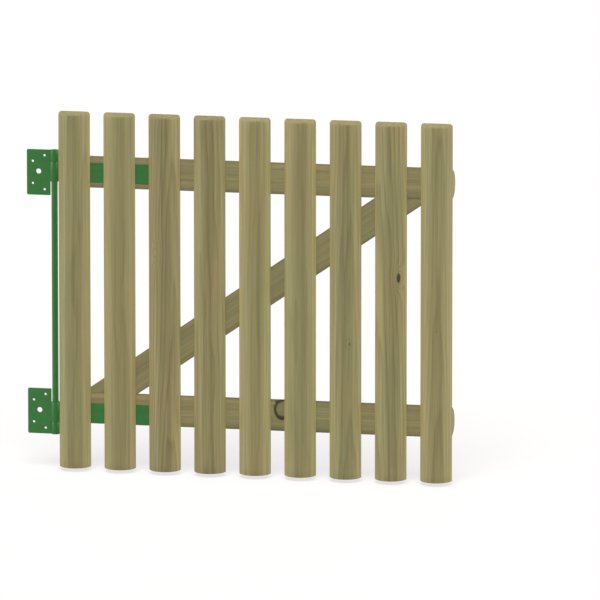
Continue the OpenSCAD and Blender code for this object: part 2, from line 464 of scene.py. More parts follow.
# %% [markdown]
# ## The timber finish
# The poles are softwood logs, machined round, sawn in half and soaked in a preservative that leaves
# them olive brown. A painted-on grain would show the same stripes on every face. Here the growth rings
# are a solid pattern instead: the distance from the heart of the log, bent by noise, is cut up into
# rings. The round face then shows long flames, the sawn face shows straight lines, and the ends show
# arcs, all from one pattern, just as in real wood. Knots are little cylinders that run outwards from the
# heart and push the rings around them.

# %% Timber colours and knots
ring_width = 3.0 * MM
wander_size = 5.0 * MM
arris_reach = 4.5 * MM
arris_core = 1.5 * MM
early_colour = (0.276, 0.244, 0.110, 1)
late_colour = (0.170, 0.144, 0.060, 1)
brown_tint = (1.05, 0.985, 0.94, 1)
green_tint = (0.96, 1.00, 0.96, 1)
# arris_shade_tint is painted shade along the arrises
arris_shade_tint = (0.72, 0.73, 0.76, 1)
sawn_tint = (1.025, 1.04, 1.13, 1)
end_tint = (0.90, 0.92, 0.90, 1)
knot_dark = (0.020, 0.015, 0.001, 1)
knot_heart = (0.235, 0.203, 0.097, 1)


def knot(at, along, radius, kind="dark", stretch=0.8, swirl=None, depth=0.92):
    """A knot: where its line passes, its direction, radius, reach of its swirl and depth of colour."""
    return dict(at=at, along=along, radius=radius, kind=kind, stretch=stretch,
                swirl=swirl or 1.6 * radius, depth=depth)


def distance_to_knot(tree, point, given):
    offset = vector_node(tree, "SUBTRACT", point, given["at"])
    squeezed = vector_node(tree, "MULTIPLY", offset, (1, 1, given["stretch"]))
    return vector_node(tree, "LENGTH", vector_node(tree, "CROSS_PRODUCT", squeezed, given["along"]))


def bend_rings(tree, radius, distance, given):
    spread = math_node(tree, "DIVIDE", distance, given["swirl"])
    fall = math_node(tree, "MULTIPLY", math_node(tree, "MULTIPLY", spread, spread), -1.0)
    push = math_node(tree, "MULTIPLY", math_node(tree, "EXPONENT", fall), given["swirl"] * 0.75)
    return math_node(tree, "ADD", radius, push)


def paint_knot(tree, colour, distance, given, fibre, lump):
    """A dark knot is black bark right through; a ringed one is a pale heart in a thin black rim."""
    if given["kind"] == "ghost":
        return colour
    relative = math_node(tree, "DIVIDE", distance, given["radius"])
    relative = math_node(tree, "MULTIPLY_ADD", fibre, 0.25, math_node(tree, "ADD", relative, -0.125))
    relative = math_node(tree, "MULTIPLY_ADD", lump, 0.5, math_node(tree, "ADD", relative, -0.25))
    if given["kind"] == "dark":
        cover = map_range(tree, relative, 1.15, 0.75, 0.0, given["depth"], "SMOOTHSTEP")
        return mix_colour(tree, cover, colour, knot_dark)
    wave = math_node(tree, "SINE", math_node(tree, "MULTIPLY", relative, 30.0))
    heart = mix_colour(tree, map_range(tree, wave, -1.0, 1.0, 0.0, 0.35), knot_heart, late_colour)
    rim_stops = [(0.0, grey(0.0)), (0.34, grey(0.1)), (0.44, grey(1.0)), (0.53, grey(1.0)),
                 (0.62, grey(0.0))]
    rim = ramp_node(tree, math_node(tree, "MULTIPLY", relative, 0.5), rim_stops)
    inside = map_range(tree, relative, 1.0, 0.9)
    colour = mix_colour(tree, inside, colour, heart)
    strength = map_range(tree, lump, 0.35, 0.65, 1.0, 0.85)
    return mix_colour(tree, math_node(tree, "MULTIPLY", rim, strength), colour, knot_dark)

# %% [markdown]
# ## Growth rings and grain
# The heart of a real log wanders by a few millimetres, and no two rings are equally wide, so slow noise
# bends the one and uneven noise shifts the other. Everything in wood is drawn out along the pole, which
# is why most of the noise here is squeezed along Z before it is used.

# %% Growth rings and grain
def drawn_noise(tree, point, draw, scale, detail, roughness=0.5):
    """Noise drawn out along the pole; a draw of 0.02 makes it fifty times as long as wide."""
    squeezed = vector_node(tree, "MULTIPLY", point, (1, 1, draw))
    return noise_node(tree, squeezed, scale, detail, roughness)


def wandering(tree, point, shifted):
    wander = drawn_noise(tree, shifted, 0.16, 14.0, 2.5).outputs["Color"]
    centred = vector_node(tree, "SUBTRACT", wander, (0.5, 0.5, 0.5))
    move = vector_node(tree, "MULTIPLY", centred, (wander_size, wander_size, 0))
    return vector_node(tree, "ADD", point, move)


def late_wood(tree, radius, shifted, contrast):
    """Pale early wood that darkens into a line of late wood, once for each ring."""
    uneven = drawn_noise(tree, shifted, 0.05, 55.0, 1.0).outputs["Fac"]
    rings = math_node(tree, "DIVIDE", radius, ring_width)
    rings = math_node(tree, "FRACT", math_node(tree, "MULTIPLY_ADD", uneven, 1.3, rings))
    late = ramp_node(tree, rings, [(0.0, grey(0.05)), (0.45, grey(0.12)), (0.80, grey(0.75)),
                                   (0.90, grey(1.0)), (1.0, grey(0.05))])
    return math_node(tree, "MULTIPLY", late, contrast)


def tinted(tree, where, colour, tint):
    """The colour, multiplied by a tint where a factor says so."""
    return mix_colour(tree, where, colour, multiplied(tree, colour, tint))

# %% [markdown]
# ## The whole timber material
# Now the layers go on, mostly in the order in which real timber gets them: rings, then fibres and streaks,
# then the uneven take-up of the preservative, then the darker arrises, which are painted shade, and the
# darker ends, and knots on top of all.
# Each pole asks for its own heart, taper, tone, contrast and knots.

# %% Timber finish
def timber_material(name, seed, heart, taper=0.004, tone=1.0, contrast=0.55, lean=0.0,
                    low_arris_shade=0.0, knots=()):
    material, tree, shader, coordinates = new_material(name)
    point = coordinates.outputs["Object"]
    shifted = vector_node(tree, "ADD", point, (seed * 1.37, seed * 0.71, seed * 2.13))
    place = split_vector(tree, point)

    # rings around the heart, pushed aside by every knot
    bent = wandering(tree, point, shifted)
    from_heart = vector_node(tree, "SUBTRACT", bent, (*heart, 0))
    flat = vector_node(tree, "MULTIPLY", from_heart, (1, 1, 0))
    across = vector_node(tree, "LENGTH", flat)
    radius = math_node(tree, "MULTIPLY_ADD", place["Z"], taper, across)
    distances = [distance_to_knot(tree, bent, given) for given in knots]
    for distance, given in zip(distances, knots):
        radius = bend_rings(tree, radius, distance, given)
    late = late_wood(tree, radius, shifted, contrast)
    colour = mix_colour(tree, late, early_colour, late_colour)

    # fibres, lines and streaks, livelier where the rings are; the first layer also sets the tone
    fibre = drawn_noise(tree, shifted, 0.025, 420.0, 3.0, 0.6).outputs["Fac"]
    line = drawn_noise(tree, shifted, 0.012, 170.0, 1.0).outputs["Fac"]
    streak = drawn_noise(tree, shifted, 0.03, 62.0, 2.0, 0.6).outputs["Fac"]
    liveliness = 0.45 + 0.75 * contrast
    for noise, darkening, lightening, level in (
            (fibre, 0.16, 0.10, tone), (line, 0.14, 0.12, 1.0), (streak, 0.12, 0.09, 1.0)):
        low, high = 1 - darkening * liveliness, 1 + lightening * liveliness
        layer = ramp_node(tree, noise, [(0.30, grey(low * level)), (0.70, grey(high * level))])
        colour = multiplied(tree, colour, layer)

    # the uneven take-up of the preservative, and one flank paler than the other
    cloud = drawn_noise(tree, shifted, 0.4, 9.0, 2.0).outputs["Fac"]
    tint = ramp_node(tree, cloud, [(0.35, green_tint), (0.65, brown_tint)])
    colour = multiplied(tree, colour, tint)
    flank = map_range(tree, place["X"], -log_radius, log_radius, 1 - lean, 1 + lean)
    colour = multiplied(tree, colour, flank)

    # arrises show darker, painted shade along the edges that reaches further on the low side; ends drink
    # more preservative and show darker, the sawn flat less
    side = math_node(tree, "ABSOLUTE", place["X"])
    beside = math_node(tree, "ABSOLUTE", math_node(tree, "SUBTRACT", side, log_radius))
    from_arris = math_node(tree, "MAXIMUM", beside, math_node(tree, "ABSOLUTE", place["Y"]))
    low_side = math_node(tree, "LESS_THAN", place["X"], 0.0)
    reach = math_node(tree, "MULTIPLY_ADD", low_side, low_arris_shade, arris_reach)
    colour = tinted(tree, map_range(tree, from_arris, reach, arris_core), colour, arris_shade_tint)
    turned = split_vector(tree, coordinates.outputs["Normal"])
    colour = tinted(tree, map_range(tree, turned["Y"], 0.9, 0.99), colour, sawn_tint)
    endwise = math_node(tree, "ABSOLUTE", turned["Z"])
    colour = tinted(tree, map_range(tree, endwise, 0.9, 0.99), colour, end_tint)
    if knots:
        lump = noise_node(tree, shifted, 90.0, 2.0).outputs["Fac"]
    for distance, given in zip(distances, knots):
        colour = paint_knot(tree, colour, distance, given, fibre, lump)

    connect(tree, colour, shader.inputs["Base Color"])
    connect(tree, map_range(tree, fibre, 0.2, 0.8, 0.54, 0.70), shader.inputs["Roughness"])
    shader.inputs["IOR"].default_value = 1.42
    relief = math_node(tree, "MULTIPLY_ADD", late, 0.6, fibre)
    bump_node(tree, relief, 0.35, 0.35 * MM, shader)
    return material

# %% [markdown]
# ## Half-round poles
# A picket is half a log: flat at the back, round in front, with its top arris rounded over so that it
# sheds rain. The section is an outline of points, an arc with two slightly eased corners and a flat,
# and the pole is that outline repeated along its length. The round side swells and shrinks by a few
# tenths of a millimetre, because no machined log is perfectly true, while the flat stays flat so that it
# still lies against the rails.

# %% Half-round poles
arris = 1.3 * MM
saw_ease = 0.9 * MM
top_round = 8 * MM
waviness = 0.28 * MM
arc_steps = 44
flat_steps = 6


def half_round_outline(radius, height, inset, swell):
    """One D-shaped ring: round towards -Y, flat at Y = -inset."""
    corner = max(arris - inset * 0.5, 0.4 * MM)
    points = []
    start = math.asin(corner / radius)
    for k in range(arc_steps + 1):
        angle = start + (pi - 2 * start) * k / arc_steps
        grown = radius + swell(angle) * sin(angle)
        points.append((grown * cos(angle), -grown * sin(angle), height))
    for k in range(1, 4):
        turn = pi - pi / 2 * k / 3
        points.append((-radius + corner + corner * cos(turn), -inset - corner + corner * sin(turn), height))
    span = radius - corner
    for k in range(1, flat_steps):
        points.append((-span + 2 * span * k / flat_steps, -inset, height))
    for k in range(3):
        turn = pi / 2 - pi / 2 * k / 3
        points.append((radius - corner + corner * cos(turn), -inset - corner + corner * sin(turn), height))
    return points


def end_rings(round_radius):
    """(distance from the end, how much the radius shrinks there), from the end inwards."""
    if round_radius <= saw_ease:
        return [(0.0, saw_ease * 0.7), (saw_ease * 0.3, saw_ease * 0.3), (saw_ease, 0.0)]
    turns = [pi / 2 * k / 7 for k in range(8)]
    return [(round_radius * (1 - cos(t)), round_radius * (1 - sin(t))) for t in turns]


def half_round(length, seed, low_round=0.0, high_round=0.0, spacing=0.02):
    def swell_at(height):
        def swell(angle):
            return waviness * (sin(7.1 * height + seed) + 0.6 * sin(23.0 * height + 2.1 * seed + 2 * angle)
                               + 0.5 * sin(3 * angle + 5.3 * height + seed))
        return swell

    low = [(d, s) for d, s in end_rings(low_round)]
    high = [(length - d, s) for d, s in reversed(end_rings(high_round))]
    start, stop = low[-1][0], high[0][0]
    steps = max(int((stop - start) / spacing), 2)
    middle = [(start + (stop - start) * k / steps, 0.0) for k in range(1, steps)]
    rings = []
    for height, shrink in low + middle + high:
        inset = min(shrink, saw_ease * 0.7)
        rings.append(half_round_outline(log_radius - shrink, height, inset, swell_at(height)))
    return loft(rings)

# %% [markdown]
# ## The pickets
# Nine poles of one stock, but no two alike. Each gets its own heart position, taper and tone, so that
# the grain runs differently, and a few carry a knot. One shared material would be quicker, but the eye
# finds a repeated knot at once.

# %% Pickets
picket_length = first_high.z - first_low.z


def face_knot(side, height, radius, **more):
    """A knot that comes out on the round face, side metres right of the middle."""
    across = side / log_radius
    return knot((0, 0, height), (across, -math.sqrt(1 - across ** 2), 0), radius, **more)


picket_looks = {
    "picket_1": dict(heart=(0.004, -0.004), taper=0.003, tone=1.00, contrast=0.40, lean=0.01),
    "picket_2": dict(heart=(-0.006, -0.002), taper=0.002, tone=1.015, contrast=0.35, lean=-0.04),
    "picket_3": dict(heart=(0.009, -0.010), taper=0.010, tone=0.94, contrast=0.68, lean=0.10,
                     knots=[face_knot(-0.014, 0.555, 7 * MM, kind="ghost", stretch=0.45, swirl=11 * MM)]),
    "picket_4": dict(heart=(-0.004, -0.007), taper=0.004, tone=0.94, contrast=0.58),
    "picket_5": dict(heart=(0.007, -0.001), taper=0.002, tone=1.05, contrast=0.35, lean=-0.02),
    "picket_6": dict(heart=(-0.003, -0.003), taper=0.002, tone=0.99, contrast=0.30, lean=0.03),
    "picket_7": dict(heart=(0.005, -0.009), taper=0.007, tone=0.98, contrast=0.50, lean=0.03,
                     knots=[face_knot(0.017, 0.343, 3.5 * MM, stretch=0.6, swirl=7 * MM, depth=0.30)]),
    "picket_8": dict(heart=(-0.007, -0.006), taper=0.008, tone=1.01, contrast=0.60,
                     knots=[face_knot(0.0248, 0.514, 6 * MM, stretch=0.5, swirl=13 * MM)]),
    "picket_9": dict(heart=(0.004, -0.014), taper=0.011, tone=1.045, contrast=0.45, lean=0.03,
                     knots=[face_knot(0.008, 0.383, 2.2 * MM, stretch=0.9, swirl=3 * MM, depth=0.40)]),
}
for number, name in enumerate(picket_names, 1):
    low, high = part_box(name)
    material = timber_material(f"timber_{name}", number * 3.7, **picket_looks[name])
    place = Matrix.Translation(((low.x + high.x) / 2, back_plane, low.z))
    skin = half_round(high.z - low.z, number * 1.9, high_round=top_round)
    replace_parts(make_piece(f"{name}_pole", skin, "leaf", material, place), name)
print(len(picket_names), "pickets of", round(picket_length, 3), "m")

# %% [markdown]
# ## Cutting pockets
# The straps lie in grooves, and the nuts and screw heads sit in drilled pockets in the round backs of
# the rails. A carpenter cuts these after shaping the pole, and so do we: the cutters are joined into
# one mesh and subtracted with a boolean modifier, which is then applied.

# %% Cutting pockets
pocket_play = 0.25 * MM
head_pocket_depth = 3.5 * MM
nut_pocket_radius = 10 * MM
groove_overrun = 10 * MM
groove_end_play = 0.5 * MM
drill_sides = 40
nut_seat = min(low.y for low, high in solid_boxes("strap_washers"))


def box_skin(low, high):
    corners = [(x, y, z) for z in (low[2], high[2]) for x, y in (
        (low[0], low[1]), (high[0], low[1]), (high[0], high[1]), (low[0], high[1]))]
    return loft([corners[:4], corners[4:]])


def drill(x, y, z, radius):
    """A cutter that drills from y out through the back of the gate."""
    depth = 3 * log_radius
    return (*lathe([(radius, 0.0), (radius, depth)], drill_sides), along_y(x, y, z))


def head_pockets(node, low, high):
    """Drills for the screw heads of a node that lie inside a box."""
    drills = []
    for a, b in solid_boxes(node):
        x, z = middle_xz(a, b)
        if low.x < x < high.x and low.z < z < high.z:
            head_radius = (b.x - a.x) / 2
            drills.append(drill(x, b.y - head_pocket_depth, z, head_radius + pocket_play))
    return drills


def cut(piece, parts):
    """Subtracts the parts, given in the row frame, from a piece."""
    cutter = add_to_scene(bpy.data.objects.new("cutter", mesh_of("cutter", combine(parts))))
    modifier = piece.modifiers.new("pockets", "BOOLEAN")
    modifier.operation = "DIFFERENCE"
    modifier.solver = "EXACT"
    modifier.object = cutter
    result = finished_mesh(piece)
    piece.modifiers.clear()
    piece.data = result
    smooth(result)
    bpy.data.objects.remove(cutter)
    return piece

# %% [markdown]
# ## Rails
# The rails are the same half-rounds laid on their side, flat face forward, with both ends rounded over.
# The pole's own length runs along its local Z, so the same recipe serves: the piece is only turned.
# The lower rail carries the gate's one big knot.

# %% Rails
turn_to_rail = Matrix(((0, 0, 1, 0), (0, -1, 0, 0), (1, 0, 0, 0), (0, 0, 0, 1)))
rail_looks = {
    # low_arris_shade widens the painted shade of the arrises along each rail's low side
    "upper_rail": dict(heart=(0.003, -0.001), taper=0.002, tone=1.08, contrast=0.7, low_arris_shade=14 * MM,
                       knots=[knot((0, 0, 0.62), (-0.5, -0.86, 0), 8 * MM)]),
    "lower_rail": dict(heart=(-0.004, -0.002), taper=0.003, tone=1.03, contrast=0.8, low_arris_shade=10 * MM,
                       knots=[knot((0.016, 0, 0.570), (0, -1, 0), 23 * MM, kind="ringed", stretch=1.07)]),
}
for number, name in enumerate(rail_looks, 20):
    low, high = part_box(name)
    rail_z = (low.z + high.z) / 2
    material = timber_material(f"timber_{name}", number * 3.7, **rail_looks[name])
    place = Matrix.Translation((low.x, back_plane, rail_z)) @ turn_to_rail
    skin = half_round(high.x - low.x, number * 1.9, low_round=top_round, high_round=top_round)
    piece = make_piece(f"{name}_pole", skin, "leaf", material, place)
    strap_low, strap_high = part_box(name.replace("rail", "strap"))
    groove_low = (low.x - groove_overrun, back_plane - groove_overrun, strap_low.z - pocket_play)
    groove_high = (strap_high.x + groove_end_play, strap_high.y, strap_high.z + pocket_play)
    parts = [(*box_skin(groove_low, groove_high), Matrix.Identity(4))]
    for a, b in solid_boxes("strap_bolts"):
        x, z = middle_xz(a, b)
        if low.z < z < high.z:
            parts.append(drill(x, nut_seat, z, nut_pocket_radius))
    parts += head_pockets("picket_screws", low, high)
    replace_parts(cut(piece, parts), name)
    print(name, "cut", len(parts), "times,", len(piece.data.polygons), "faces")

# %% [markdown]
# ## The brace
# The brace runs from the foot on the hinge side up to the free side, so that it pushes the sagging
# corner up. Its ends are sawn level to butt on the rails. We sweep a pole that is too long, slice it
# with two level planes and close the cuts. Its slope is read from the frame's own brace.

# %% Brace
def slice_level(skin, place, cut_heights):
    """Cuts a skin level at a low and a high Z of the row frame, keeping what lies between."""
    vertices, faces = skin
    editing = bmesh.new()
    made = [editing.verts.new(v) for v in vertices]
    for face in faces:
        editing.faces.new([made[k] for k in face])
    back = place.inverted()
    for height, sign in zip(cut_heights, (-1, 1)):
        where = back @ Vector((place.translation.x, place.translation.y, height))
        normal = back.to_3x3() @ Vector((0, 0, sign))
        geometry = editing.verts[:] + editing.edges[:] + editing.faces[:]
        done = bmesh.ops.bisect_plane(
            editing, geom=geometry, plane_co=where, plane_no=normal, clear_outer=True)
        edges = [g for g in done["geom_cut"] if isinstance(g, bmesh.types.BMEdge)]
        bmesh.ops.contextual_create(editing, geom=edges)
    return skin_of(editing)


low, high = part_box("diagonal_brace")
brace_points = [v.co for v in frame["nodes"]["diagonal_brace"].data.vertices]
foot_x = max(p.x for p in brace_points if p.z < low.z + MM / 10)
head_x = max(p.x for p in brace_points if p.z > high.z - MM / 10)
slope = math.atan2(high.z - low.z, head_x - foot_x)
extra = 2 * log_radius / math.tan(slope)
brace_length = (high.z - low.z) / sin(slope) + 2 * extra
axis = Vector((cos(slope), 0, sin(slope)))
up_side = Vector((-sin(slope), 0, cos(slope)))
start = Vector((foot_x, back_plane, low.z)) + up_side * log_radius - axis * extra
place = Matrix((
    (up_side.x, 0, axis.x, start.x),
    (0, -1, 0, start.y),
    (up_side.z, 0, axis.z, start.z),
    (0, 0, 0, 1)))
brace_material = timber_material(
    "timber_brace", 83.1, heart=(0.005, -0.003), taper=0.003, tone=0.94, contrast=0.6,
    knots=[knot((0.012, 0, extra - 0.03), (0.2, -1, 0), 3.5 * MM)])
skin = slice_level(half_round(brace_length, 41.0), place, (low.z, high.z))
brace = make_piece("brace_pole", skin, "leaf", brace_material, place)
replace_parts(cut(brace, head_pockets("brace_screws", low, high)), "diagonal_brace")
print("brace slope", round(math.degrees(slope), 2), "degrees")

# %% [markdown]
# ## The green steel finish
# The hinge is blasted and powder coated a mid green. Powder coat is a thick plastic skin: satin, with
# a fine orange-peel ripple, a touch lighter where dust has settled. A glossy paint would mirror the
# studio, so the roughness is kept middling and broken up by noise. Where two knuckles rub on each
# other, the coat is partly worn away in a thin ragged line.

# %% Green steel finish
coat_colour = (0.025, 0.166, 0.028, 1)
coat_dark = (0.021, 0.150, 0.024, 1)
worn_colour = (0.10, 0.095, 0.085, 1)


def powder_coat(name, seed, wear_heights=(), shade=1.0):
    material, tree, shader, coordinates = new_material(name)
    point = vector_node(tree, "ADD", coordinates.outputs["Object"], (seed, seed * 0.6, seed * 1.7))
    cloud = noise_node(tree, point, 22.0, 3.0)
    colour = ramp_node(tree, cloud.outputs["Fac"], [(0.3, coat_dark), (0.7, coat_colour)])
    # a shade below 1 darkens the whole coat: painted shade
    if shade < 1.0:
        colour = multiplied(tree, colour, grey(shade))
    peel = noise_node(tree, point, 900.0, 1.0)
    scuff = noise_node(tree, point, 160.0, 4.0, 0.7)
    rough = map_range(tree, scuff.outputs["Fac"], 0.3, 0.7, 0.36, 0.50)
    height = split_vector(tree, coordinates.outputs["Object"])["Z"]
    for level in wear_heights:
        gap = math_node(tree, "ABSOLUTE", math_node(tree, "SUBTRACT", height, level))
        ragged = math_node(tree, "MULTIPLY_ADD", scuff.outputs["Fac"], 1.6 * MM, gap)
        worn = map_range(tree, ragged, 1.5 * MM, 1.1 * MM)
        colour = mix_colour(tree, math_node(tree, "MULTIPLY", worn, 0.5), colour, worn_colour)
    connect(tree, colour, shader.inputs["Base Color"])
    connect(tree, rough, shader.inputs["Roughness"])
    shader.inputs["IOR"].default_value = 1.42
    relief = math_node(tree, "MULTIPLY_ADD", scuff.outputs["Fac"], 0.3, peel.outputs["Fac"])
    bump_node(tree, relief, 0.12, 0.12 * MM, shader)
    return material

# %% [markdown]
# ## Flat bar with holes
# Post plates and straps are flat bar with drilled holes. A filled two-dimensional curve is the natural
# way: outline and holes are splines, the bar's thickness is the curve's extrusion, and the curve's own
# bevel eases every edge, holes included, before it is turned into a mesh.

# %% Flat bar with holes
edge_ease = 0.6 * MM
hole_steps = 47
bar_low, bar_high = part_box("upper_strap")
bar_thickness = bar_high.y - bar_low.y
bar_middle = (bar_low.y + bar_high.y) / 2


def arc_points(x, z, radius, start, stop, steps=8):
    return [(x + radius * cos(start + (stop - start) * k / steps),
             z + radius * sin(start + (stop - start) * k / steps)) for k in range(steps + 1)]


def flat_bar(name, outline, holes, body, material, node):
    """Bar in the gate's plane from an outline and round holes (x, z, radius), all in the row frame."""
    curve = bpy.data.curves.new(name, "CURVE")
    curve.dimensions = "2D"
    curve.fill_mode = "BOTH"
    curve.extrude = bar_thickness / 2 - edge_ease
    curve.bevel_depth = edge_ease
    curve.bevel_resolution = 2
    curve.offset = -edge_ease
    full_turn = -2 * pi * hole_steps / (hole_steps + 1)
    circles = [arc_points(x, z, radius, 0, full_turn, hole_steps) for x, z, radius in holes]
    for points in [outline] + circles:
        spline = curve.splines.new("POLY")
        spline.points.add(len(points) - 1)
        for spot, (x, z) in zip(spline.points, points):
            spot.co = (x, z, 0, 1)
        spline.use_cyclic_u = True
    drawn = add_to_scene(bpy.data.objects.new(name, curve))
    mesh = finished_mesh(drawn)
    bpy.data.objects.remove(drawn)
    mesh.transform(Matrix.Translation((0, bar_middle, 0)) @ Matrix.Rotation(pi / 2, 4, "X"))
    editing = bmesh.new()
    editing.from_mesh(mesh)
    bmesh.ops.remove_doubles(editing, verts=editing.verts, dist=1e-6)
    bmesh.ops.recalc_face_normals(editing, faces=editing.faces)
    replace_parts(make_piece(name, skin_of(editing), body, material, sharp_angle=30), node)

# %% [markdown]
# ## Post plates and straps
# A post plate reaches the weld line on its own knuckle, but steps back beside the strap's knuckle,
# which has to turn freely. The lower plate is the upper one turned upside down. The straps run from
# their knuckles into the rails. Their bolt and screw holes are read from the frame's own fasteners.

# %% Post plates and straps
knuckle_low, knuckle_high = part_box("upper_post_knuckle")
axis_x = (knuckle_low.x + knuckle_high.x) / 2
axis_y = (knuckle_low.y + knuckle_high.y) / 2
knuckle_radius = (knuckle_high.x - knuckle_low.x) / 2
weld_line = axis_x - math.sqrt(knuckle_radius ** 2 - (bar_thickness / 2) ** 2)
swing_gap = 0.6 * MM
step_play = 0.5 * MM
swing_line = axis_x - knuckle_radius - swing_gap
plate_edge = weld_line + MM
corner = 4 * MM
free_corner = 1.5 * MM
half_plate = 30
# each hole in millimetres: right of the plate's middle, above its middle, radius
plate_holes = ((0, 2.5, 6.5), (-15, 28, 3), (-15, -28, 3), (15, 43, 3), (15, -43, 3))
strap_hole_radii = {"strap_bolts": 4.2 * MM, "picket_screws": 3.4 * MM}
weld_edge = axis_x + knuckle_radius - MM
end_corner = 3 * MM
steel = powder_coat("green_powder_coat", 1.0)
# the weld beads wear a darker copy of the coat: painted shade in the seams beside the knuckles
weld_seam_shade_coat = powder_coat("green_weld_painted_shade", 2.0, shade=0.45)

for level in ("upper", "lower"):
    low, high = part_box(f"{level}_post_plate")
    post_low, post_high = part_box(f"{level}_post_knuckle")
    strap_low, strap_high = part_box(f"{level}_strap_knuckle")
    left, middle_z = low.x, (low.z + high.z) / 2
    left_side = arc_points(left + corner, high.z - corner, corner, pi / 2, pi)
    left_side += arc_points(left + corner, low.z + corner, corner, pi, 3 * pi / 2)
    if level == "upper":
        right_side = arc_points(weld_line - free_corner, low.z + free_corner, free_corner, -pi / 2, 0)
        below, step = strap_low.z - swing_gap, post_low.z + step_play
        right_side += [(weld_line, below), (swing_line, below), (swing_line, step),
                       (plate_edge, step), (plate_edge, high.z)]
    else:
        above, step = strap_high.z + swing_gap, post_high.z - step_play
        right_side = [(plate_edge, low.z), (plate_edge, step), (swing_line, step),
                      (swing_line, above), (weld_line, above)]
        right_side += arc_points(weld_line - free_corner, high.z - free_corner, free_corner, 0, pi / 2)
    holes = [(left + (half_plate + x) * MM, middle_z + z * MM, r * MM) for x, z, r in plate_holes]
    flat_bar(f"{level}_plate", left_side + right_side, holes, "post_hinges", steel, f"{level}_post_plate")

    low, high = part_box(f"{level}_strap")
    outline = [(weld_edge, high.z), (weld_edge, low.z)]
    outline += arc_points(high.x - end_corner, low.z + end_corner, end_corner, -pi / 2, 0)
    outline += arc_points(high.x - end_corner, high.z - end_corner, end_corner, 0, pi / 2)
    holes = []
    for fastener, radius in strap_hole_radii.items():
        for a, b in solid_boxes(fastener):
            x, z = middle_xz(a, b)
            if low.z < z < high.z and x < high.x:
                holes.append((x, z, radius))
    flat_bar(f"{level}_strap_bar", outline, holes, "leaf", steel, f"{level}_strap")
print("plates and straps are", round(bar_thickness / MM, 1), "mm thick")

# %% [markdown]
# ## Tube and bead shapes
# A knuckle is a short tube with its outer edges rounded over, so it is spun from a closed profile. A
# weld is a row of overlapping ripples, made here as a thin bead whose radius rises and falls along its
# length and fades out at both ends.

# %% Tube and bead shapes
knuckle_ease = 0.5 * MM
bead_radius = 1.2 * MM
ripple_pitch = 1.6 * MM
ripple_steps = 6
ripple_height = 0.10


def rounded_step(radius, height, ease, outward):
    """Three profile points that round over an edge; outward is +1 at a top, -1 at a bottom."""
    return [(radius - ease * (1 - cos(t)), height - outward * ease * (1 - sin(t)))
            for t in (0, pi / 4, pi / 2)]


def knuckle_skin(low_z, high_z, bore):
    outer = rounded_step(knuckle_radius, low_z, knuckle_ease, -1)[::-1]
    outer += rounded_step(knuckle_radius, high_z, knuckle_ease, 1)
    inner = [(bore, high_z), (bore, low_z)]
    return lathe(outer + inner, 64, closed=True)


def bead(start, stop):
    """A weld bead between two points."""
    length = (stop - start).length
    steps = max(int(length / (ripple_pitch / ripple_steps)), 8)
    rings = []
    for k in range(steps + 1):
        along = length * k / steps
        ripple = 1 + ripple_height * sin(2 * pi * along / ripple_pitch)
        ends = min(1.0, math.sqrt(max(min(along, length - along), 0) / bead_radius) + 0.15)
        rings.append(circle(bead_radius * ripple * ends, along, 12))
    turned = (stop - start).to_track_quat("Z", "Y").to_matrix().to_4x4()
    return (*loft(rings), Matrix.Translation(start) @ turned)

# %% [markdown]
# ## Knuckles, rod and welds
# Four knuckles sit on one long rod: the outer two are welded to the post plates and to the rod, and the
# inner two are welded to the straps and turn, with a little play. Each piece rides on its own body,
# which is what makes the gate open at the right seam.

# %% Knuckles, rod and welds
rod_low, rod_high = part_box("hinge_rod")
rod_radius = (rod_high.x - rod_low.x) / 2
running_play = 0.08 * MM
bead_lift = 0.3 * MM
bead_margin = 2 * MM
strap_weld_x = 2 * axis_x - weld_line
sides = (bar_middle - bar_thickness / 2 - bead_lift, bar_middle + bar_thickness / 2 + bead_lift)
at_axis = Matrix.Translation((axis_x, axis_y, 0))


def weld_beads(x, low_z, high_z):
    """The beads in front of and behind a bar, along one upright line."""
    return combine([bead(Vector((x, y, low_z + bead_margin)), Vector((x, y, high_z - bead_margin)))
                    for y in sides])


for level in ("upper", "lower"):
    post_low, post_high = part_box(f"{level}_post_knuckle")
    strap_low, strap_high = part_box(f"{level}_strap_knuckle")
    split = (post_low.z + strap_high.z) / 2
    if level == "lower":
        split = (post_high.z + strap_low.z) / 2
    worn_steel = powder_coat(f"{level}_knuckle_coat", 4.0, (split,))
    skin = combine([(*knuckle_skin(post_low.z, post_high.z, rod_radius), at_axis)])
    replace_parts(make_piece(f"{level}_post_tube", skin, "post_hinges", worn_steel),
                f"{level}_post_knuckle")
    skin = combine([(*knuckle_skin(strap_low.z, strap_high.z, rod_radius + running_play), at_axis)])
    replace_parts(make_piece(f"{level}_strap_tube", skin, "leaf", worn_steel),
                f"{level}_strap_knuckle")
    # the beads carry the darker coat, painted shade in the seam
    skin = weld_beads(weld_line, post_low.z, post_high.z)
    make_piece(f"{level}_plate_weld", skin, "post_hinges", weld_seam_shade_coat)
    skin = weld_beads(strap_weld_x, strap_low.z, strap_high.z)
    make_piece(f"{level}_strap_weld", skin, "leaf", weld_seam_shade_coat)

rod_profile = [(0, rod_low.z), (rod_radius - MM, rod_low.z), (rod_radius, rod_low.z + MM)]
rod_steps = 24
rod_span = rod_high.z - rod_low.z - 2 * MM
rod_profile += [(rod_radius, rod_low.z + MM + rod_span * k / rod_steps) for k in range(1, rod_steps + 1)]
rod_profile += [(rod_radius - MM, rod_high.z), (0, rod_high.z)]
rod_skin = combine([(*lathe(rod_profile, 48), at_axis)])
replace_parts(make_piece("rod", rod_skin, "post_hinges", steel), "hinge_rod")
print("rod", round(2 * rod_radius / MM, 1), "mm,", round(rod_high.z - rod_low.z, 3), "m long")

# %% [markdown]
# ## Zinc finish
# Screws, bolts, washers and nuts are bright zinc: a metal with a soft, slightly patchy shine. It is the
# only real metal finish here, so its colour is the colour of its reflections.

# %% Zinc finish
zinc_dull = (0.50, 0.51, 0.52, 1)
zinc_bright = (0.66, 0.66, 0.65, 1)


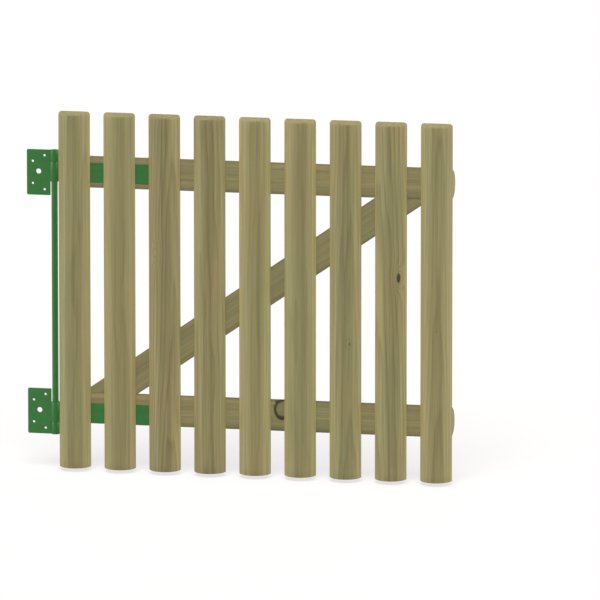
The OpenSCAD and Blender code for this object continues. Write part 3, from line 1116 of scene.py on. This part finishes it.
def zinc_material():
    material, tree, shader, coordinates = new_material("zinc_plate")
    point = coordinates.outputs["Object"]
    spangle = noise_node(tree, point, 700.0, 2.0)
    cloud = noise_node(tree, point, 90.0, 2.0)
    colour = ramp_node(tree, cloud.outputs["Fac"], [(0.3, zinc_dull), (0.7, zinc_bright)])
    dulled = ramp_node(tree, spangle.outputs["Fac"], [(0.4, grey(0.88)), (0.6, grey(1.0))])
    connect(tree, multiplied(tree, colour, dulled), shader.inputs["Base Color"])
    connect(tree, map_range(tree, cloud.outputs["Fac"], 0.3, 0.7, 0.30, 0.46), shader.inputs["Roughness"])
    shader.inputs["Metallic"].default_value = 1.0
    bump_node(tree, spangle.outputs["Fac"], 0.1, 0.05 * MM, shader)
    return material


zinc = zinc_material()

# %% [markdown]
# ## Fastener shapes
# The screw heads carry a six-lobed recess, made by rings whose radius waves six times a turn, and the
# thread is a crest that climbs round the shank. A nut is a hexagon with its corners turned off, so each
# ring follows the hexagon until a limit cuts it back.

# %% Fastener shapes
screw_sides = 48
head_chamfer = 0.3 * MM
thread_pitch = 2.6 * MM
drive_depth = 2.6 * MM
core_share = 0.72
crest_width = 0.22
thread_steps = 56
nut_chamfer = 0.7 * MM
bore_ease = 0.5 * MM


def lobed_ring(radius, height, depth, lobes=6):
    turn = 2 * pi / screw_sides
    ring = []
    for k in range(screw_sides):
        r = radius * (1 + depth * cos(lobes * k * turn))
        ring.append((r * cos(k * turn), r * sin(k * turn), height))
    return ring


def thread_ring(height, core_radius, shank_radius):
    turn = 2 * pi / screw_sides
    ring = []
    for k in range(screw_sides):
        phase = (height / thread_pitch - k / screw_sides) % 1.0
        crest = max(0.0, 1 - abs(phase - 0.5) / crest_width)
        r = core_radius + (shank_radius - core_radius) * crest
        ring.append((r * cos(k * turn), r * sin(k * turn), -height))
    return ring


def screw_skin(length, head_radius, shank_radius):
    """A countersunk screw, head at Z = 0 and point towards -Z, with its recess open at the top."""
    drive, head_height, smooth_end = head_radius * 0.42, head_radius * 0.6, length * 0.42
    core_radius = shank_radius * core_share
    rings = [[(0, 0, -drive_depth)]]
    rings += [lobed_ring(drive * share, -drive_depth, 0.16) for share in (0.4, 0.9)]
    rings += [lobed_ring(drive, -drive_depth * 0.85, 0.16), lobed_ring(drive, -0.15 * MM, 0.16)]
    rings += [lobed_ring(drive * 1.08, 0.0, 0.12)]
    rings += [circle(head_radius - head_chamfer, 0.0, screw_sides)]
    rings += [circle(head_radius, -head_chamfer, screw_sides)]
    rings += [circle(shank_radius, -head_height, screw_sides)]
    rings += [circle(shank_radius, -smooth_end, screw_sides)]
    for k in range(1, thread_steps):
        height = smooth_end + (length - smooth_end - 5 * MM) * k / thread_steps
        rings.append(thread_ring(height, core_radius, shank_radius))
    rings += [circle(core_radius * 0.5, -length + 2 * MM, screw_sides), [(0, 0, -length)]]
    return loft(rings)


def hex_ring(across, height, limit, count=72):
    points = []
    for k in range(count):
        angle = 2 * pi * k / count
        side = ((angle + pi / 6) % (pi / 3)) - pi / 6
        r = min(across / 2 / cos(side), limit)
        points.append((r * cos(angle), r * sin(angle), height))
    return points


def hex_skin(across, thickness, bore, count=72):
    """A nut with the corners of its hexagon turned off at both faces, with its bore."""
    face_radius = across / 2 * 0.97
    corner_radius = across / 2 / cos(pi / 6)
    rings = [hex_ring(across, 0, face_radius), hex_ring(across, nut_chamfer, corner_radius)]
    rings += [hex_ring(across, thickness - nut_chamfer, corner_radius)]
    rings += [hex_ring(across, thickness, face_radius)]
    rings += [circle(bore + bore_ease, thickness, count), circle(bore, thickness - bore_ease, count)]
    rings += [circle(bore, bore_ease, count), circle(bore + bore_ease, 0, count)]
    return loft(rings, closed=True)

# %% [markdown]
# ## Screws, bolts, washers and nuts
# Every screw, bolt, washer and nut of the gate stands where the frame has one. Pieces of one kind share
# a mesh, because none of them ever moves by itself. The bolts are countersunk into the straps and their
# nuts sit in the rails' pockets.

# %% Screws, bolts, washers and nuts
screw_shank = 3 * MM
bolt_shank = 4 * MM
washer_bore = 4.2 * MM
nut_bore = 4.05 * MM
washer_ease = 0.3 * MM


def set_fasteners(name, node, parts):
    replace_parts(make_piece(name, combine(parts), "leaf", zinc, sharp_angle=30), node)
    print(name, len(parts))


def set_screws(name, node):
    parts = []
    for a, b in solid_boxes(node):
        x, z = middle_xz(a, b)
        parts.append((*screw_skin(b.y - a.y, (b.x - a.x) / 2, screw_shank), along_y(x, b.y, z)))
    set_fasteners(name, node, parts)


set_screws("picket_screw_set", "picket_screws")
set_screws("brace_screw_set", "brace_screws")

bolt_parts, washer_parts, nut_parts = [], [], []
for a, b in solid_boxes("strap_bolts"):
    x, z = middle_xz(a, b)
    length, head = b.y - a.y, (b.x - a.x) / 2
    profile = [(0, 0), (head - head_chamfer, 0), (head, head_chamfer), (bolt_shank, head - bolt_shank)]
    profile += [(bolt_shank, length - MM), (bolt_shank - MM, length), (0, length)]
    bolt_parts.append((*lathe(profile), along_y(x, a.y, z)))
for a, b in solid_boxes("strap_washers"):
    x, z = middle_xz(a, b)
    outer, thickness = (b.x - a.x) / 2, b.y - a.y
    profile = [(washer_bore, 0), (outer - washer_ease, 0), (outer, washer_ease)]
    profile += [(outer, thickness - washer_ease), (outer - washer_ease, thickness)]
    profile += [(washer_bore, thickness)]
    washer_parts.append((*lathe(profile, closed=True), along_y(x, a.y, z)))
for a, b in solid_boxes("strap_nuts"):
    x, z = middle_xz(a, b)
    nut_parts.append((*hex_skin(b.z - a.z, b.y - a.y, nut_bore), along_y(x, a.y, z)))
for name, node, parts in (("strap_bolt_set", "strap_bolts", bolt_parts),
                          ("washer_set", "strap_washers", washer_parts),
                          ("nut_set", "strap_nuts", nut_parts)):
    set_fasteners(name, node, parts)

# %% [markdown]
# ## Which lamp lights what
# The rod and its tubes hang in the first picket's shade, but lamps without shadows cannot know that
# and would make their sides glare. So a fill and a boost share each side, and light linking tells the
# boosts which pieces they must leave alone. The floor lamp is the other way round: it has one receiver,
# the floor, so it draws the gate's shadow there without lighting the gate itself.

# %% Light linking
def link_light(lamps, name, pieces, state):
    """Makes lamps light only the pieces (INCLUDE) or everything but the pieces (EXCLUDE)."""
    receivers = bpy.data.collections.new(name)
    for number, piece in enumerate(pieces):
        receivers.objects.link(piece)
        receivers.collection_objects[number].light_linking.link_state = state
    for lamp in lamps:
        lamp.light_linking.receiver_collection = receivers


hinge_parts = ["rod"]
for level in ("upper", "lower"):
    hinge_parts += [f"{level}_{part}" for part in ("post_tube", "strap_tube", "plate_weld", "strap_weld")]
link_light(boosts, "shaded_hinge", [bpy.data.objects[name] for name in hinge_parts], "EXCLUDE")
link_light([floor_lamp], "only_the_floor", [floor], "INCLUDE")
print("the boosts leave out", len(hinge_parts), "pieces")

# %% [markdown]
# ## The size against the frame
# The looks may not outgrow the frame. The frame's box from the start is set against the finished model's
# box, and how far each side has grown is printed.

# %% Size against the frame
seen_low, seen_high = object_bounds()
for side, grown in (("low", cad_low - seen_low), ("high", seen_high - cad_high)):
    print("grown at the", side, "side by", [round(v / MM, 2) for v in grown], "mm")
